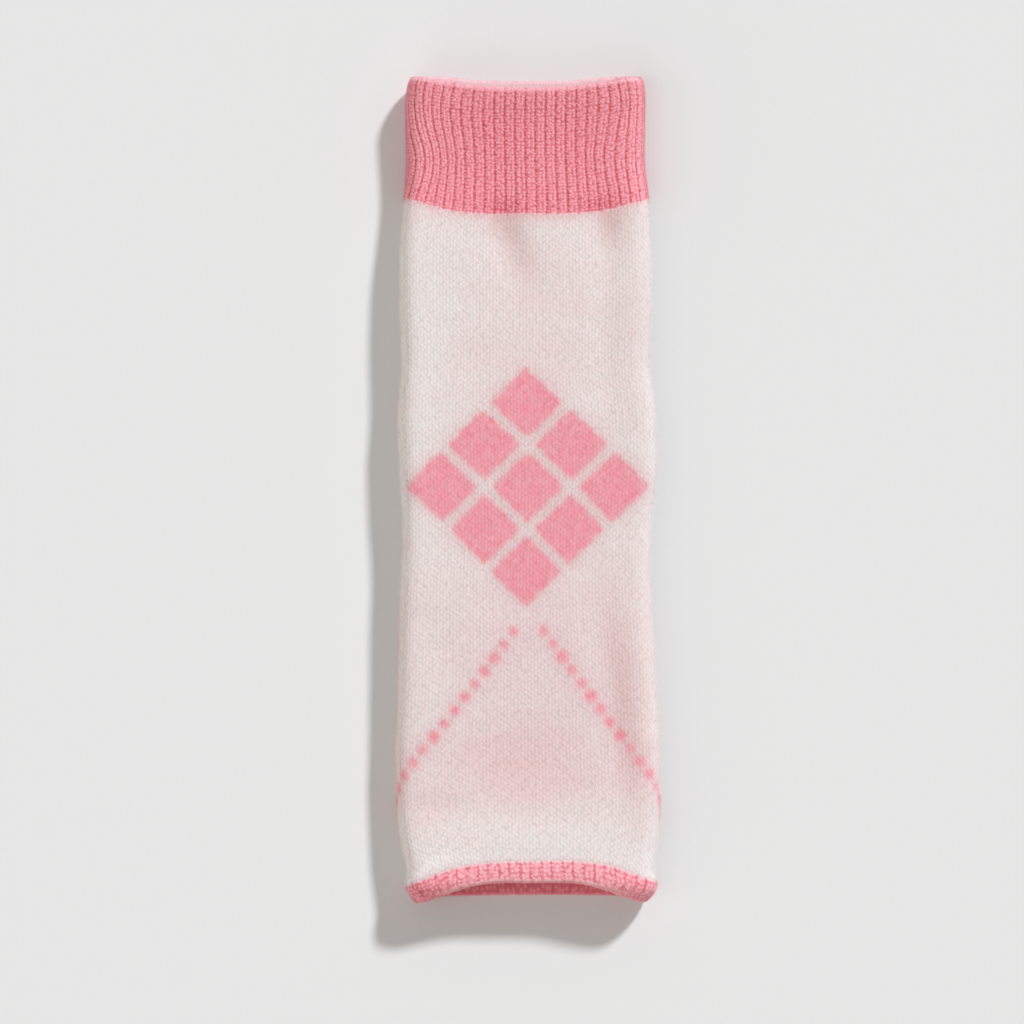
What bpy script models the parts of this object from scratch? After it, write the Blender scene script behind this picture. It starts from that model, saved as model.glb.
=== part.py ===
"""A knitted leg warmer laid flat: a footless tube with a ribbed cuff, a plain leg and a ribbed hem band.

The tube lies along Y on the surface z = 0, with its cuff at +Y. Its section is a flat-bottomed oval whose
upper layer domes up. A point of the cloth is named by its turn round the girth and by its course: turn 0 is
the middle of the upper layer, 90 the fold at +X, 180 the middle of the lower layer, 270 the fold at -X.
"""

from collections import namedtuple

import bmesh
import bpy
import numpy as np

MM = 0.001

# ---- the tube's plan and height, in millimetres: a row for each section along it ----
Section = namedtuple("Section", "along left right height")
SECTIONS = (
    Section(along=-150.2, left=-38.6, right=39.8, height=13.2),
    Section(along=-147.6, left=-41.2, right=43.4, height=14.4),
    Section(along=-145.4, left=-42.6, right=45.2, height=15.6),
    Section(along=-142.8, left=-43.8, right=46.2, height=16.4),
    Section(along=-136.6, left=-43.7, right=45.6, height=15.9),
    Section(along=-130.0, left=-45.2, right=46.3, height=15.2),
    Section(along=-121.0, left=-46.7, right=47.2, height=15.0),
    Section(along=-109.0, left=-47.4, right=47.8, height=15.0),
    Section(along=-96.0, left=-47.7, right=47.4, height=15.2),
    Section(along=-78.0, left=-46.9, right=46.5, height=15.6),
    Section(along=-58.0, left=-46.4, right=45.7, height=16.0),
    Section(along=-39.0, left=-46.0, right=44.4, height=16.2),
    Section(along=-14.0, left=-45.2, right=44.5, height=16.2),
    Section(along=8.0, left=-46.3, right=46.4, height=16.2),
    Section(along=28.0, left=-46.7, right=45.8, height=16.2),
    Section(along=42.0, left=-45.7, right=44.1, height=16.0),
    Section(along=70.0, left=-46.2, right=44.7, height=15.8),
    Section(along=90.0, left=-45.8, right=44.1, height=15.4),
    Section(along=103.0, left=-44.6, right=43.6, height=14.8),
    Section(along=117.0, left=-43.6, right=41.9, height=14.0),
    Section(along=132.0, left=-43.9, right=41.9, height=14.3),
    Section(along=142.0, left=-43.5, right=41.9, height=15.4),
    Section(along=146.0, left=-42.8, right=41.4, height=15.9),
    Section(along=149.4, left=-41.2, right=39.6, height=15.8),
)

# ---- the courses that end each stretch: where they cross the length, at turns round the girth ----
Course = namedtuple(
    "Course", "front front_quarter front_side front_shoulder fold back_shoulder back_quarter back lean"
)
COURSE_TURNS = (0.0, 33.0, 52.0, 70.0, 90.0, 112.0, 147.0, 180.0)
CUFF_END = Course(143.8, 144.4, 145.7, 147.3, 148.2, 149.0, 147.6, 147.3, 0.0)
CUFF_SEAM = Course(98.3, 98.5, 99.6, 102.0, 104.4, 104.2, 102.6, 102.0, 0.0)
HEM_SEAM = Course(-133.4, -133.9, -135.5, -139.0, -142.4, -141.6, -139.2, -138.4, 0.8)
HEM_END = Course(-141.2, -141.8, -144.3, -147.0, -148.9, -147.5, -146.8, -146.7, 0.15)

# ---- the section ----
FOLD_SHARE = 0.42  # height of the side folds, as a share of the section's height
UPPER_SQUARE, LOWER_SQUARE = 18.0, 7.0  # powers of the oval across: 2 is round, and more is squarer
BOTTOM_SINK = 0.8  # the lower oval would reach this far below the surface, so it is flat where it rests
GIRTH_STEPS = 4096  # steps of the outline that girth turns are measured on

# ---- the cloth ----
LEG_WALL = 1.6
CUFF_WALL = 2.2
HEM_WALL = 2.4
SEAM_GAP = 0.3
RIB_COUNT = 52
Rib = namedtuple("Rib", "share raised")
RIB_PROFILE = (Rib(0.0, 0.0), Rib(0.2, 1.0), Rib(0.5, 0.7), Rib(0.8, 1.0))
CUFF_RIB_DEPTH = 0.8
HEM_RIB_DEPTH = 0.45
HEM_BULGE = 0.5
EDGE_ROUND = 0.6

# ---- the largest folds of the upper layer: soft troughs, and ridges where the depth is below zero ----
Trough = namedtuple("Trough", "across along length width turned depth")
TROUGHS = (
    Trough(across=-7.5, along=90.0, length=15.0, width=6.5, turned=16.0, depth=1.6),
    Trough(across=27.0, along=94.0, length=13.0, width=6.0, turned=-4.0, depth=1.5),
    Trough(across=28.5, along=55.0, length=42.0, width=5.5, turned=-1.0, depth=0.6),
    Trough(across=30.0, along=-76.0, length=34.0, width=6.0, turned=5.5, depth=1.1),
    Trough(across=-2.0, along=-98.0, length=16.0, width=26.0, turned=0.0, depth=0.7),
    Trough(across=-34.0, along=-54.0, length=14.0, width=8.0, turned=25.0, depth=0.6),
    Trough(across=-42.0, along=50.0, length=80.0, width=6.0, turned=0.0, depth=-0.8),
    Trough(across=41.0, along=10.0, length=140.0, width=5.0, turned=0.0, depth=-0.6),
    Trough(across=0.0, along=-127.0, length=6.0, width=40.0, turned=0.0, depth=-0.5),
)

# ---- how finely each stretch is faceted: rows as shares of the way from its upper course to its lower ----
LEG_COLUMNS, LEG_INNER_COLUMNS = 80, 40
LEG_ROWS = (*np.linspace(0, 0.92, 26), 0.955, 0.98, 1.0)
LEG_INNER_ROWS = np.linspace(0, 1, 15)
CUFF_ROWS, CUFF_INNER_ROWS = (0.0, 0.012, 0.07, 0.25, 0.5, 0.75, 1.0), (0.012, 0.25, 0.6, 1.0)
HEM_ROWS, HEM_INNER_ROWS = (0.0, 0.3, 0.6, 0.93, 1.0), (0.0, 0.5, 0.93)


def smooth(places, values, at):
    """Cubic through the table's rows: each row's slope is the mean of its neighbours' slopes by distance."""
    places, values = np.asarray(places, float), np.asarray(values, float)
    steps, slopes = np.diff(places), np.diff(values) / np.diff(places)
    inner = (slopes[:-1] * steps[1:] + slopes[1:] * steps[:-1]) / (steps[1:] + steps[:-1])
    slope = np.concatenate([slopes[:1], inner, slopes[-1:]])
    at = np.clip(at, places[0], places[-1])
    row = np.clip(np.searchsorted(places, at) - 1, 0, len(steps) - 1)
    share = (at - places[row]) / steps[row]
    ease = share * share * (3 - 2 * share)
    lean = share * (1 - share) * steps[row]
    value = values[row] * (1 - ease) + values[row + 1] * ease
    return value + lean * (slope[row] * (1 - share) - slope[row + 1] * share)


def unit_section(angle):
    """Across and up, each from -1 to 1, at an angle of the oval: |across|^square + up^2 = 1."""
    across, cosine = np.sin(angle), np.cos(angle)
    square = np.where(cosine >= 0, UPPER_SQUARE, LOWER_SQUARE)
    return across, np.sign(cosine) * np.sqrt(1 - np.abs(across) ** square)


def troughs(x, y):
    """Depth of the folds: a sum of soft ovals, exp(-(run along / length)^2 - (side across / width)^2)."""
    depth = 0.0
    for fold in TROUGHS:
        lean = np.radians(fold.turned)
        run = (y - fold.along) * np.cos(lean) - (x - fold.across) * np.sin(lean)
        side = (y - fold.along) * np.sin(lean) + (x - fold.across) * np.cos(lean)
        depth = depth + fold.depth * np.exp(-((run / fold.length) ** 2) - (side / fold.width) ** 2)
    return depth


def section(angle, y):
    """The cloth's outer point x, z on the section at y: the oval, the folds above and the flat rest below."""
    along = [row.along for row in SECTIONS]
    left = smooth(along, [row.left for row in SECTIONS], y)
    right = smooth(along, [row.right for row in SECTIONS], y)
    height = smooth(along, [row.height for row in SECTIONS], y)
    fold = FOLD_SHARE * height
    across, up = unit_section(angle)
    x = (left + right) / 2 + (right - left) / 2 * across
    above = fold + (height - fold) * up - troughs(x, y) * np.clip(up, 0, 1)
    below = np.maximum(fold + (fold + BOTTOM_SINK) * up, 0.0)
    return x, np.where(up >= 0, above, below)


def angles_of(turns):
    """Oval angles of turns round the girth, in degrees, at equal lengths of cloth on a middle section."""
    angle = np.linspace(0, 2 * np.pi, GIRTH_STEPS + 1)
    x, z = section(angle, 0.0)
    run = np.concatenate([[0], np.cumsum(np.hypot(np.diff(x), np.diff(z)))])
    return np.interp(np.mod(turns, 360.0), run / run[-1] * 360.0, angle)


def course_at(course, turns):
    """Where a course lies along the tube: the same both sides of the middle, but for lean * sin(turn)."""
    folded = 180.0 - np.abs(180.0 - np.mod(turns, 360.0))
    mirrored = [-COURSE_TURNS[1], *COURSE_TURNS, 360.0 - COURSE_TURNS[-2]]
    level = smooth(mirrored, [course.front_quarter, *course[:8], course.back_quarter], folded)
    return level + course.lean * np.sin(np.radians(turns))


def cloth(turns, y, inward):
    """Points of the cloth, each moved inward from its outer surface by a depth, square to the section."""
    angle, nudge = angles_of(turns), 1e-3
    x, z = section(angle, y)
    ahead, behind = section(angle + nudge, y), section(angle - nudge, y)
    dx, dz = ahead[0] - behind[0], ahead[1] - behind[1]
    size = np.hypot(dx, dz)
    resting = np.maximum(z - inward * dx / size, 0.0)
    return np.stack([x + inward * dz / size, y, resting], -1) * MM


def rib_columns():
    """Turns of the ribbed stretches' columns and how far each is raised, from 0 in a groove to 1."""
    shares = np.array([[rib + point.share for point in RIB_PROFILE] for rib in range(RIB_COUNT)])
    raised = np.tile([point.raised for point in RIB_PROFILE], RIB_COUNT)
    return shares.ravel() / RIB_COUNT * 360.0, raised


def grid(turns, shares, first, last, inward):
    """Rows of rings from one course to another: shares run from 0 at the first to 1 at the last."""
    turns = np.broadcast_to(turns, (len(shares), len(turns)))
    share = np.asarray(shares)[:, None]
    y = course_at(first, turns) * (1 - share) + course_at(last, turns) * share
    return cloth(turns, y, inward)


def moved(course, step):
    """The same course, moved along the tube."""
    return Course(*(place + step for place in course[:8]), course.lean)


def join_rings(mesh, wide, narrow):
    """Faces between two closed rings, where the wide one has a whole number of points for each narrow one."""
    each = len(wide) // len(narrow)
    for i, corner in enumerate(narrow):
        following = narrow[(i + 1) % len(narrow)]
        run = [wide[(i * each + k) % len(wide)] for k in range(each + 1)]
        for near, far in zip(run[:-1], run[1:]):
            mesh.faces.new((near, far, corner))
        mesh.faces.new((run[-1], following, corner))


def wall(name, outer, inner, colour, roughness):
    """One closed tube wall from outer rings and inner rings, which run the same way along the tube."""
    mesh = bmesh.new()
    sides = [[[mesh.verts.new(point) for point in ring] for ring in rings] for rings in (outer, inner)]
    for rings in sides:
        for ring, above in zip(rings[:-1], rings[1:]):
            for i in range(len(ring)):
                j = (i + 1) % len(ring)
                mesh.faces.new((ring[i], ring[j], above[j], above[i]))
    for end in (0, -1):
        join_rings(mesh, sides[0][end], sides[1][end])
    bmesh.ops.recalc_face_normals(mesh, faces=mesh.faces)
    data = bpy.data.meshes.new(name)
    mesh.to_mesh(data)
    mesh.free()
    data.shade_smooth()
    data.materials.append(yarn(name, colour, roughness))
    bpy.context.scene.collection.objects.link(bpy.data.objects.new(name, data))


def yarn(name, colour, roughness):
    """Knitted cotton yarn as a plain Principled material."""
    material = bpy.data.materials.new(name + "_yarn")
    material.use_nodes = True
    shader = material.node_tree.nodes["Principled BSDF"]
    shader.inputs["Base Color"].default_value = (*colour, 1.0)
    shader.inputs["Roughness"].default_value = roughness
    shader.inputs["Metallic"].default_value = 0.0
    return material


def plain_columns(count):
    """Turns of the columns of a plain surface, which start where the ribbed ones do."""
    return np.arange(count) * 360.0 / count


def make_leg():
    """The plain tube between the two ribbed stretches."""
    top, bottom = moved(CUFF_SEAM, -SEAM_GAP / 2), moved(HEM_SEAM, SEAM_GAP / 2)
    outer = grid(plain_columns(LEG_COLUMNS), LEG_ROWS, top, bottom, 0.0)
    inner = grid(plain_columns(LEG_INNER_COLUMNS), LEG_INNER_ROWS, top, bottom, LEG_WALL)
    wall("leg", outer, inner, (0.78, 0.68, 0.66), 0.9)


def make_cuff():
    """The upper rib: raised outer points, a plain inside, and a rounded edge at the open end."""
    turns, raised = rib_columns()
    bottom = moved(CUFF_SEAM, SEAM_GAP / 2)
    edge = EDGE_ROUND * (np.array(CUFF_ROWS)[:, None] == 0)
    outer = grid(turns, CUFF_ROWS, CUFF_END, bottom, CUFF_RIB_DEPTH * (1 - raised) + edge)
    inner = grid(plain_columns(RIB_COUNT), CUFF_INNER_ROWS, CUFF_END, bottom, CUFF_WALL)
    wall("cuff", outer, inner, (0.76, 0.25, 0.30), 0.9)


def make_hem():
    """The lower rib band: low ribs on a band that bulges between its seam and its rounded open edge."""
    turns, raised = rib_columns()
    top = moved(HEM_SEAM, -SEAM_GAP / 2)
    rows = np.array(HEM_ROWS)[:, None]
    edge = EDGE_ROUND * (rows == 1)
    proud = HEM_BULGE * np.sin(np.pi * rows)
    outer = grid(turns, HEM_ROWS, top, HEM_END, HEM_RIB_DEPTH * (1 - raised) + edge - proud)
    inner = grid(plain_columns(RIB_COUNT), HEM_INNER_ROWS, top, HEM_END, HEM_WALL)
    wall("hem", outer, inner, (0.80, 0.32, 0.36), 0.9)


def main():
    for thing in list(bpy.data.objects):
        bpy.data.objects.remove(thing, do_unlink=True)
    make_cuff()
    make_leg()
    make_hem()


main()
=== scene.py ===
# %% [markdown]
# # A knitted leg warmer, laid flat
# A leg warmer is a footless sock: one tube, knitted in one go on a round machine, with a ribbed cuff, a
# plain leg and a narrow ribbed hem. Here it lies flat on a pale surface and is seen from straight above.
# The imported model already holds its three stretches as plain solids. This lesson dresses them: each stretch
# becomes a thin wall of knitting whose stitches, folds and yarn are worked out from real sizes.

from collections import namedtuple

import bpy
import numpy as np
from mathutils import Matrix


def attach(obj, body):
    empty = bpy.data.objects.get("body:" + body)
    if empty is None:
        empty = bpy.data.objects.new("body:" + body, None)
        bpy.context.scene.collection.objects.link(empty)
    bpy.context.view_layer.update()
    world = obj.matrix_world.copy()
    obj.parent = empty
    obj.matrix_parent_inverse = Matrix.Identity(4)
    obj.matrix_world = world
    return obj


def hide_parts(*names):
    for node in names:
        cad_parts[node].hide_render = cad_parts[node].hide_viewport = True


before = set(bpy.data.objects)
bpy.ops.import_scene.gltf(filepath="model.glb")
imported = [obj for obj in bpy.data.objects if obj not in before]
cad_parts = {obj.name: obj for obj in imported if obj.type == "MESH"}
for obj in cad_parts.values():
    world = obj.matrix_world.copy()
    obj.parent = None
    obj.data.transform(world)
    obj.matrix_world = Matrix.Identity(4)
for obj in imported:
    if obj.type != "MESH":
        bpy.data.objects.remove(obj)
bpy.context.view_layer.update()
print("nodes:", ", ".join(sorted(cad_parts)))

# %% [markdown]
# ## Camera
# A garment that lies flat keeps its true outline only under a camera that looks straight down from far
# away. So the camera hangs 1.6 m up with a long lens, and the lens is worked out from the width of surface
# that it should see.

# %% Hang the camera
MM = 0.001
CAMERA_HEIGHT = 1600.0
VIEW_WIDTH = 368.6  # across the picture, at the level of the knitting
VIEW_LEVEL = 8.0
VIEW_CENTRE = (-5.7, -8.3)
SENSOR_WIDTH = 36.0


def hang_camera():
    """Lens length = sensor width * distance / width seen, for a camera that looks along -Z with +Y up."""
    data = bpy.data.cameras.new("overhead_camera")
    data.sensor_width = SENSOR_WIDTH
    data.lens = SENSOR_WIDTH * (CAMERA_HEIGHT - VIEW_LEVEL) / VIEW_WIDTH
    data.clip_end = 10.0
    camera = bpy.data.objects.new("overhead_camera", data)
    camera.location = (VIEW_CENTRE[0] * MM, VIEW_CENTRE[1] * MM, CAMERA_HEIGHT * MM)
    bpy.context.scene.collection.objects.link(camera)
    bpy.context.scene.camera = camera
    return data.lens


print(f"lens: {hang_camera():.1f} mm")

# %% [markdown]
# ## Nodes for a material
# A material is a small graph of nodes. One function adds a node with its settings and links, so that each
# material below reads as a list of steps. Colours are written as the sRGB values that a screen shows, and
# one function turns them into the linear values that the renderer works with.

# %% Colours and nodes
def linear(code):
    """sRGB code to linear: value / 12.92 up to 0.04045, else ((value + 0.055) / 1.055) ^ 2.4."""
    value = np.array([int(code[i : i + 2], 16) for i in (1, 3, 5)]) / 255.0
    return np.where(value <= 0.04045, value / 12.92, ((value + 0.055) / 1.055) ** 2.4)


def add_node(tree, kind, *values, **settings):
    """Adds a node with its settings, and gives its inputs, in order, values or other nodes' outputs."""
    node = tree.nodes.new(kind)
    for field, value in settings.items():
        setattr(node, field, value)
    for socket, value in zip(node.inputs, values):
        if isinstance(value, bpy.types.NodeSocket):
            tree.links.new(value, socket)
        elif value is not None:
            socket.default_value = value
    return node


SCATTER_REACH = 1.5  # mm that red light travels in yarn before it comes out again


def new_material(name, roughness, sheen=0.0, scatter=0.0):
    """A material with its Principled shader, whose plain numbers are set on its own sockets."""
    material = bpy.data.materials.new(name)
    material.use_nodes = True
    shader = material.node_tree.nodes["Principled BSDF"]
    shader.inputs["Roughness"].default_value = roughness
    shader.inputs["Specular IOR Level"].default_value = 0.25
    shader.inputs["Sheen Weight"].default_value = sheen
    shader.inputs["Sheen Roughness"].default_value = 0.5
    shader.inputs["Subsurface Weight"].default_value = scatter
    shader.inputs["Subsurface Radius"].default_value = (1.0, 0.6, 0.6)
    shader.inputs["Subsurface Scale"].default_value = SCATTER_REACH * MM
    return material, shader


print("pale yarn in linear light:", linear("#E4D8D6").round(3))

# %% [markdown]
# ## Surface and light
# The surface is a sheet of matt paper. A lamp low on the upper right draws the garment's soft-edged shadow
# towards the lower left. A white card stands opposite the lamp, where it lifts the sides that the lamp
# doesn't reach, and an even light from all round does the rest.

# %% Lay the surface
PAPER = "#E8E8E7"
PAPER_VARIES = 0.015
PAPER_GRAIN = (900.0, 3.0)  # scale and detail of its noise
FLOOR_DEPTH = 0.03  # the paper lies this far under the knitting, so the two never share a face


def lay_floor():
    """A flat square of matt paper, 4 m wide."""
    reach = 2.0
    corners = [(-reach, -reach), (reach, -reach), (reach, reach), (-reach, reach)]
    mesh = bpy.data.meshes.new("paper")
    mesh.from_pydata([(x, y, -FLOOR_DEPTH * MM) for x, y in corners], [], [(0, 1, 2, 3)])
    material, shader = new_material("matt_paper", roughness=0.95)
    tree = material.node_tree
    place = add_node(tree, "ShaderNodeTexCoord").outputs["Object"]
    fibre = add_node(tree, "ShaderNodeTexNoise", place, None, *PAPER_GRAIN).outputs["Fac"]
    darker, lighter = (linear(PAPER) * (1 + change) for change in (-PAPER_VARIES, PAPER_VARIES))
    tone = add_node(tree, "ShaderNodeMixRGB", fibre, (*darker, 1.0), (*lighter, 1.0))
    tree.links.new(tone.outputs["Color"], shader.inputs["Base Color"])
    mesh.materials.append(material)
    floor = bpy.data.objects.new("paper", mesh)
    bpy.context.scene.collection.objects.link(floor)
    return floor


lay_floor()

# %% Light it
Lamp = namedtuple("Lamp", "name from_turn height spread strength colour")
LAMPS = (  # degrees from +Y towards +X and above the surface; spread softens the shadow's edge
    Lamp("studio_lamp", from_turn=35.0, height=31.0, spread=6.0, strength=3.2, colour="#F5FAFF"),
    Lamp("white_card", from_turn=234.0, height=37.0, spread=80.0, strength=1.13, colour="#FFFAF6"),
)
FILL, FILL_COLOUR = 0.285, "#FFFAF6"


def light_scene():
    """Distant lamps, each turned so that its light falls from its own side and height, and an even fill."""
    for lamp in LAMPS:
        data = bpy.data.lights.new(lamp.name, "SUN")
        data.energy = lamp.strength
        data.angle = np.radians(lamp.spread)
        data.color = linear(lamp.colour)
        thing = bpy.data.objects.new(lamp.name, data)
        thing.rotation_euler = (np.radians(lamp.height - 90.0), 0.0, np.radians(-lamp.from_turn))
        bpy.context.scene.collection.objects.link(thing)
    world = bpy.data.worlds.new("studio_fill")
    world.use_nodes = True
    world.node_tree.nodes["Background"].inputs["Color"].default_value = (*linear(FILL_COLOUR), 1.0)
    world.node_tree.nodes["Background"].inputs["Strength"].default_value = FILL
    bpy.context.scene.world = world
    bpy.context.scene.view_settings.view_transform = "Standard"


light_scene()
print("lamps:", ", ".join(f"{lamp.name} from {lamp.from_turn:.0f} at {lamp.height:.0f}" for lamp in LAMPS))

# %% [markdown]
# ## The form of the tube
# A knitted tube that lies flat is a low oval across: flat below, where it rests, softly domed above, and
# turned over at two side folds. Its plan is wider and narrower along it. So the form is a table of
# sections, and a smooth curve runs through the rows. A point of the cloth is named by its turn round the
# girth, from the middle of the upper layer, and by how far along the tube it lies. These are the same rows
# as in the part's own source.

# %% The tube's plan and height, in millimetres
Section = namedtuple("Section", "along left right height")
SECTIONS = (
    Section(along=-150.2, left=-38.6, right=39.8, height=13.2),
    Section(along=-147.6, left=-41.2, right=43.4, height=14.4),
    Section(along=-145.4, left=-42.6, right=45.2, height=15.6),
    Section(along=-142.8, left=-43.8, right=46.2, height=16.4),
    Section(along=-136.6, left=-43.7, right=45.6, height=15.9),
    Section(along=-130.0, left=-45.2, right=46.3, height=15.2),
    Section(along=-121.0, left=-46.7, right=47.2, height=15.0),
    Section(along=-109.0, left=-47.4, right=47.8, height=15.0),
    Section(along=-96.0, left=-47.7, right=47.4, height=15.2),
    Section(along=-78.0, left=-46.9, right=46.5, height=15.6),
    Section(along=-58.0, left=-46.4, right=45.7, height=16.0),
    Section(along=-39.0, left=-46.0, right=44.4, height=16.2),
    Section(along=-14.0, left=-45.2, right=44.5, height=16.2),
    Section(along=8.0, left=-46.3, right=46.4, height=16.2),
    Section(along=28.0, left=-46.7, right=45.8, height=16.2),
    Section(along=42.0, left=-45.7, right=44.1, height=16.0),
    Section(along=70.0, left=-46.2, right=44.7, height=15.8),
    Section(along=90.0, left=-45.8, right=44.1, height=15.4),
    Section(along=103.0, left=-44.6, right=43.6, height=14.8),
    Section(along=117.0, left=-43.6, right=41.9, height=14.0),
    Section(along=132.0, left=-43.9, right=41.9, height=14.3),
    Section(along=142.0, left=-43.5, right=41.9, height=15.4),
    Section(along=146.0, left=-42.8, right=41.4, height=15.9),
    Section(along=149.4, left=-41.2, right=39.6, height=15.8),
)


def smooth(places, values, at):
    """Cubic through the table's rows: each row's slope is the mean of its neighbours' slopes by distance."""
    places, values = np.asarray(places, float), np.asarray(values, float)
    steps, slopes = np.diff(places), np.diff(values) / np.diff(places)
    inner = (slopes[:-1] * steps[1:] + slopes[1:] * steps[:-1]) / (steps[1:] + steps[:-1])
    slope = np.concatenate([slopes[:1], inner, slopes[-1:]])
    at = np.clip(at, places[0], places[-1])
    row = np.clip(np.searchsorted(places, at) - 1, 0, len(steps) - 1)
    share = (at - places[row]) / steps[row]
    ease = share * share * (3 - 2 * share)
    lean = share * (1 - share) * steps[row]
    value = values[row] * (1 - ease) + values[row + 1] * ease
    return value + lean * (slope[row] * (1 - share) - slope[row + 1] * share)


print(f"sections: {len(SECTIONS)}, from {SECTIONS[0].along} to {SECTIONS[-1].along} mm")

# %% [markdown]
# Where one stretch ends and the next begins, the knitting's courses don't lie straight across: the upper
# layer's edges bow, and at the folds they run on to the lower layer. Each end is a named course with its
# place at eight turns round one half. The other half mirrors it, but for a lean that lifts one fold and
# lowers the other.

# %% The courses that end each stretch
Course = namedtuple(
    "Course", "front front_quarter front_side front_shoulder fold back_shoulder back_quarter back lean"
)
COURSE_TURNS = (0.0, 33.0, 52.0, 70.0, 90.0, 112.0, 147.0, 180.0)
CUFF_END = Course(143.8, 144.4, 145.7, 147.3, 148.2, 149.0, 147.6, 147.3, 0.0)
CUFF_SEAM = Course(98.3, 98.5, 99.6, 102.0, 104.4, 104.2, 102.6, 102.0, 0.0)
HEM_SEAM = Course(-133.4, -133.9, -135.5, -139.0, -142.4, -141.6, -139.2, -138.4, 0.8)
HEM_END = Course(-141.2, -141.8, -144.3, -147.0, -148.9, -147.5, -146.8, -146.7, 0.15)


def course_at(course, turns):
    """Where a course lies along the tube: the same both sides of the middle, but for lean * sin(turn)."""
    folded = 180.0 - np.abs(180.0 - np.mod(turns, 360.0))
    mirrored = [-COURSE_TURNS[1], *COURSE_TURNS, 360.0 - COURSE_TURNS[-2]]
    level = smooth(mirrored, [course.front_quarter, *course[:8], course.back_quarter], folded)
    return level + course.lean * np.sin(np.radians(turns))


print(f"leg: {CUFF_SEAM.front - HEM_SEAM.front:.1f} mm long at the front")

# %% [markdown]
# ## The folds
# Cloth that has been worn never lies like a board. It sinks in soft troughs and stands in low ridges, no
# two alike. Each is one row of a table: where its middle is, how long and wide it is, how it is turned, and
# how deep. Folds of the upper layer follow the garment. The lower layer and the side folds get similar
# ones.

# %% Troughs and ridges
Oval = namedtuple("Oval", "across along length width amount turned", defaults=(0.0,))
UPPER_FOLDS = (  # millimetres deep; below zero is a ridge
    Oval(across=-7.5, along=90.0, length=15.0, width=6.5, turned=16.0, amount=1.6),
    Oval(across=27.0, along=94.0, length=13.0, width=6.0, turned=-4.0, amount=1.5),
    Oval(across=28.5, along=55.0, length=42.0, width=5.5, turned=-1.0, amount=0.6),
    Oval(across=30.0, along=-76.0, length=34.0, width=6.0, turned=5.5, amount=1.1),
    Oval(across=-33.0, along=-114.0, length=4.5, width=9.0, amount=0.5),
    Oval(across=-2.0, along=-98.0, length=16.0, width=26.0, amount=0.7),
    Oval(across=-34.0, along=-54.0, length=14.0, width=8.0, turned=25.0, amount=0.6),
    Oval(across=-42.0, along=50.0, length=80.0, width=6.0, amount=-0.8),
    Oval(across=41.0, along=10.0, length=140.0, width=5.0, amount=-0.3),
    Oval(across=-35.0, along=-136.6, length=9.0, width=2.4, turned=-62.0, amount=-0.7),
    Oval(across=0.0, along=-127.0, length=6.0, width=40.0, amount=-0.5),
)
LOWER_FOLDS = (
    Oval(across=-8.0, along=60.0, length=30.0, width=7.0, turned=12.0, amount=0.8),
    Oval(across=18.0, along=10.0, length=26.0, width=9.0, turned=-16.0, amount=0.7),
    Oval(across=-24.0, along=-40.0, length=34.0, width=6.0, turned=8.0, amount=0.9),
    Oval(across=10.0, along=-84.0, length=22.0, width=10.0, turned=-24.0, amount=0.6),
    Oval(across=28.0, along=-116.0, length=14.0, width=7.0, turned=5.0, amount=0.7),
)


def ovals(table, x, y):
    """A sum of soft ovals: amount * exp(-(distance along/length)^2 - (distance across/width)^2)."""
    total = 0.0
    for oval in table:
        lean = np.radians(oval.turned)
        run = (y - oval.along) * np.cos(lean) - (x - oval.across) * np.sin(lean)
        side = (y - oval.along) * np.sin(lean) + (x - oval.across) * np.cos(lean)
        total = total + oval.amount * np.exp(-((run / oval.length) ** 2) - (side / oval.width) ** 2)
    return total


print("folds:", len(UPPER_FOLDS), "above,", len(LOWER_FOLDS), "below")

# %% [markdown]
# Across the tube the section is a squared-off oval, |across|^square + up^2 = 1, squarer below than above.
# Equal turns have to be equal lengths of cloth, because a row of knitting has the same number of stitches
# everywhere, so the oval's length is measured once and turns are looked up on it.

# %% The section
FOLD_SHARE = 0.42  # height of the side folds, as a share of the section's height
UPPER_SQUARE, LOWER_SQUARE = 18.0, 7.0
BOTTOM_SINK = 0.8  # the lower oval would reach this far below the surface, so it is flat where it rests
GIRTH_STEPS = 4096


def unit_section(angle):
    """Across and up, each from -1 to 1, at an angle of the oval: |across|^square + up^2 = 1."""
    across, cosine = np.sin(angle), np.cos(angle)
    square = np.where(cosine >= 0, UPPER_SQUARE, LOWER_SQUARE)
    return across, np.sign(cosine) * np.sqrt(1 - np.abs(across) ** square)


def section(angle, y):
    """The cloth's outer point x, z on the section at y: the oval, the folds above and the rest below."""
    along = [row.along for row in SECTIONS]
    left = smooth(along, [row.left for row in SECTIONS], y)
    right = smooth(along, [row.right for row in SECTIONS], y)
    height = smooth(along, [row.height for row in SECTIONS], y)
    fold = FOLD_SHARE * height
    across, up = unit_section(angle)
    x = (left + right) / 2 + (right - left) / 2 * across
    above = fold + (height - fold) * up - ovals(UPPER_FOLDS, x, y) * np.clip(up, 0, 1)
    below = np.maximum(fold + (fold + BOTTOM_SINK) * up, 0.0)
    return x, np.where(up >= 0, above, below + ovals(LOWER_FOLDS, x, y) * np.clip(-up, 0, 1))


def girth_at(y):
    """Running length round the section at y, from the middle of the upper layer, and the oval's angles."""
    angle = np.linspace(0, 2 * np.pi, GIRTH_STEPS + 1)
    x, z = section(angle, y)
    return np.concatenate([[0], np.cumsum(np.hypot(np.diff(x), np.diff(z)))]), angle


def angles_of(turns):
    """Oval angles of turns round the girth, in degrees, at equal lengths of cloth on a middle section."""
    run, angle = girth_at(0.0)
    return np.interp(np.mod(turns, 360.0), run / run[-1] * 360.0, angle)


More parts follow.
